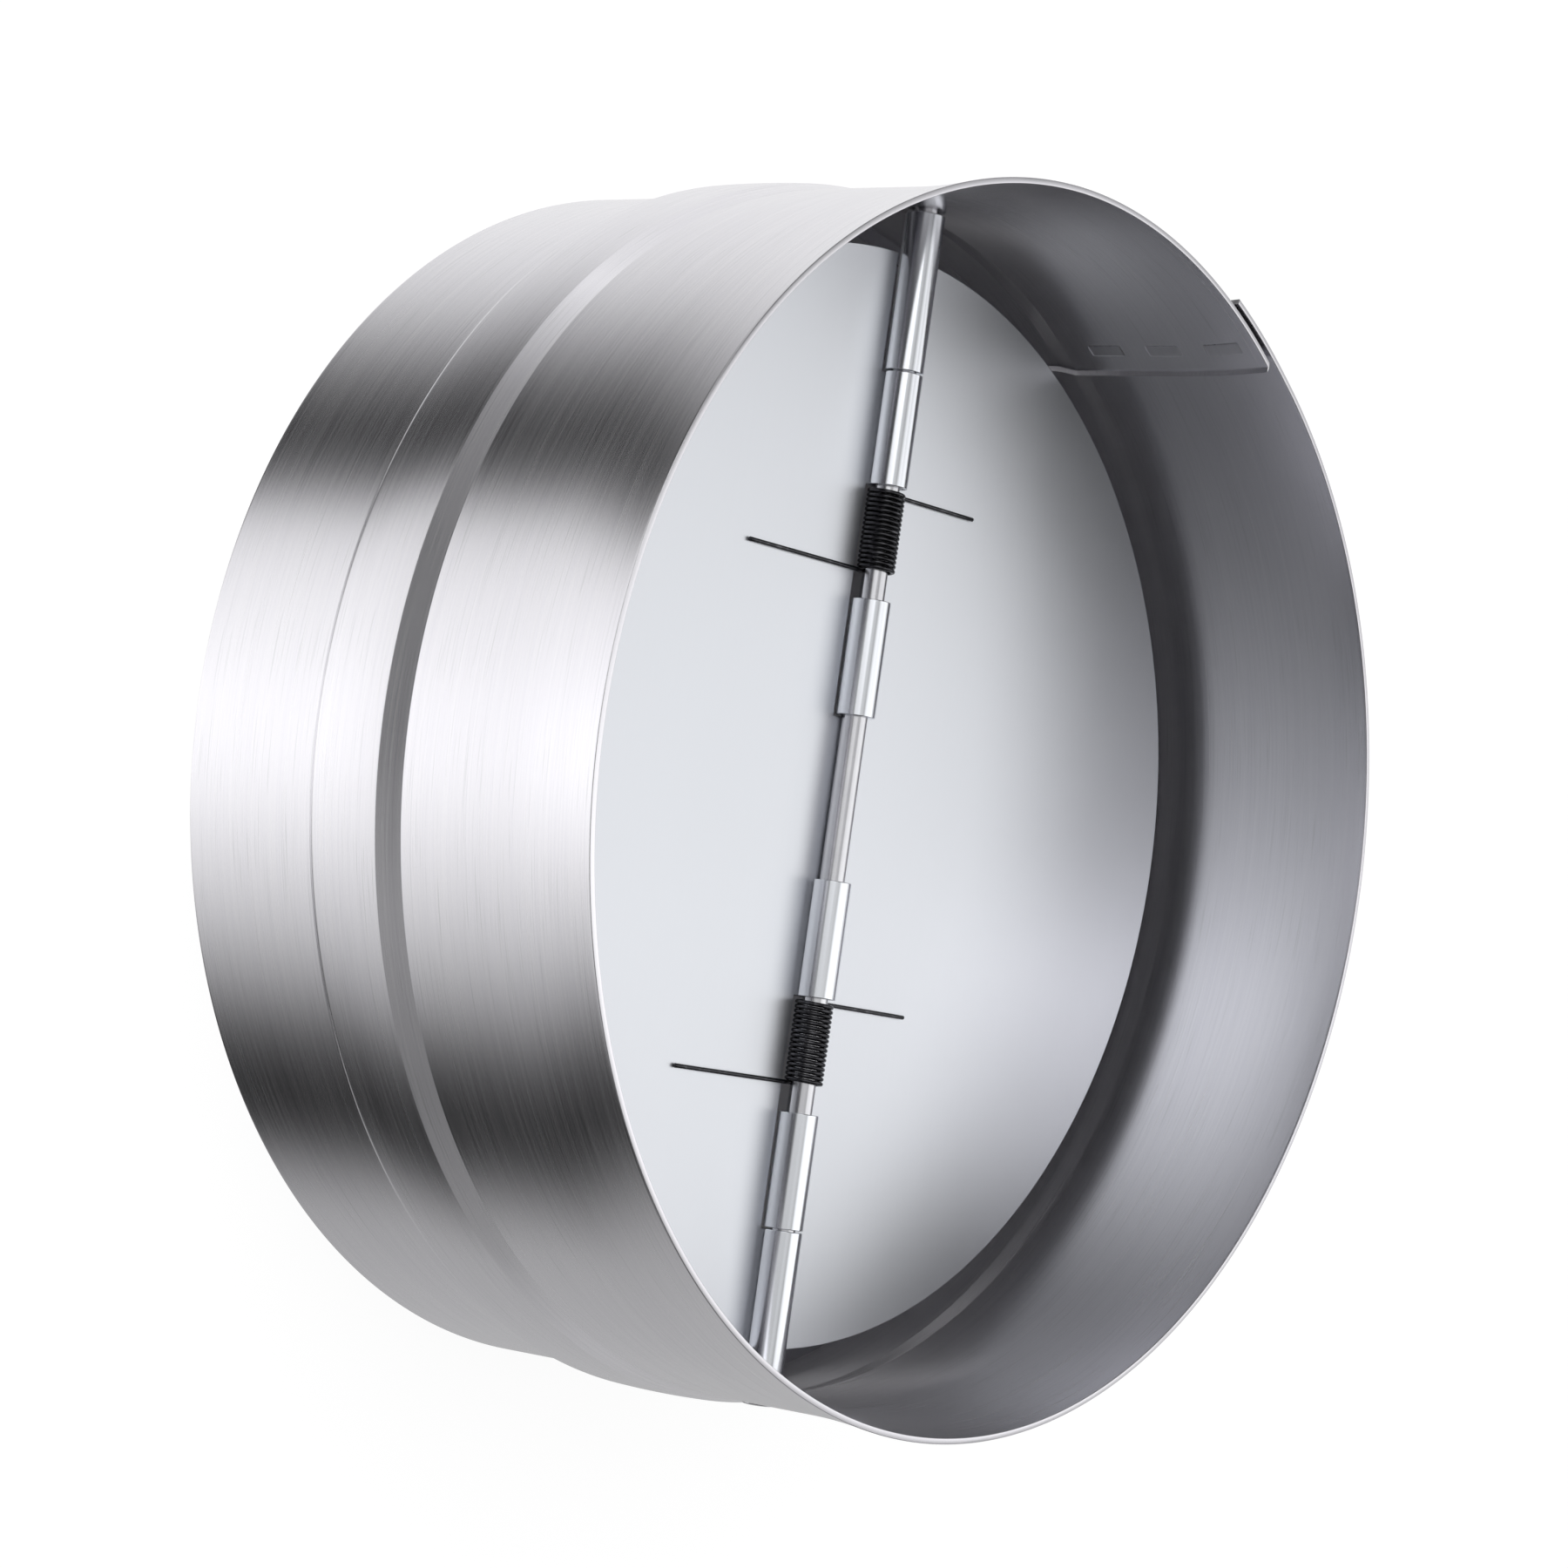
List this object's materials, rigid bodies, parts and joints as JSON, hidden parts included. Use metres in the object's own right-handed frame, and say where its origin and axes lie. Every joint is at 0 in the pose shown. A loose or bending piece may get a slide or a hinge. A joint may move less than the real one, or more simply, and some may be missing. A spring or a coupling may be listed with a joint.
{
  "type": "duct backdraft damper",
  "caption": "Round sheet-metal duct sleeve with a ridge and sprung half-round blades on a hinge rod that let air pass one way.",
  "frame": {"origin": "centre of the inlet rim, on which the damper stands", "axes": "+Z along the duct towards the outlet, +Y along the hinge rod, +X to the right seen from the outlet"},
  "size_m": [0.2, 0.2, 0.086],
  "materials": {
    "casing_steel": "rolled steel sheet, brushed round the sleeve",
    "rod_steel": "bright drawn steel rod",
    "blade_aluminium": "smooth pale aluminium sheet",
    "spring_steel": "black spring wire"
  },
  "bodies": {
    "sleeve": {"casing": "casing_steel", "hinge_rod": "rod_steel", "spring_upper": "spring_steel", "spring_lower": "spring_steel"},
    "right_blade": {"blade_right": "blade_aluminium"},
    "left_blade": {"blade_left": "blade_aluminium"}
  },
  "joints": [
    {"name": "right_blade_hinge", "type": "hinge", "parent": "sleeve", "child": "right_blade", "pos_m": [0, 0, 0.0498], "axis": [0, -1, 0], "range_deg": [0, 80], "stiffness_Nm_per_rad": 0.033, "springref_deg": -34.38, "deforming": ["spring_upper", "spring_lower"]},
    {"name": "left_blade_hinge", "type": "hinge", "parent": "sleeve", "child": "left_blade", "pos_m": [0, 0, 0.0498], "axis": [0, 1, 0], "range_deg": [0, 80], "stiffness_Nm_per_rad": 0.033, "springref_deg": -34.38, "deforming": ["spring_upper", "spring_lower"]}
  ]
}
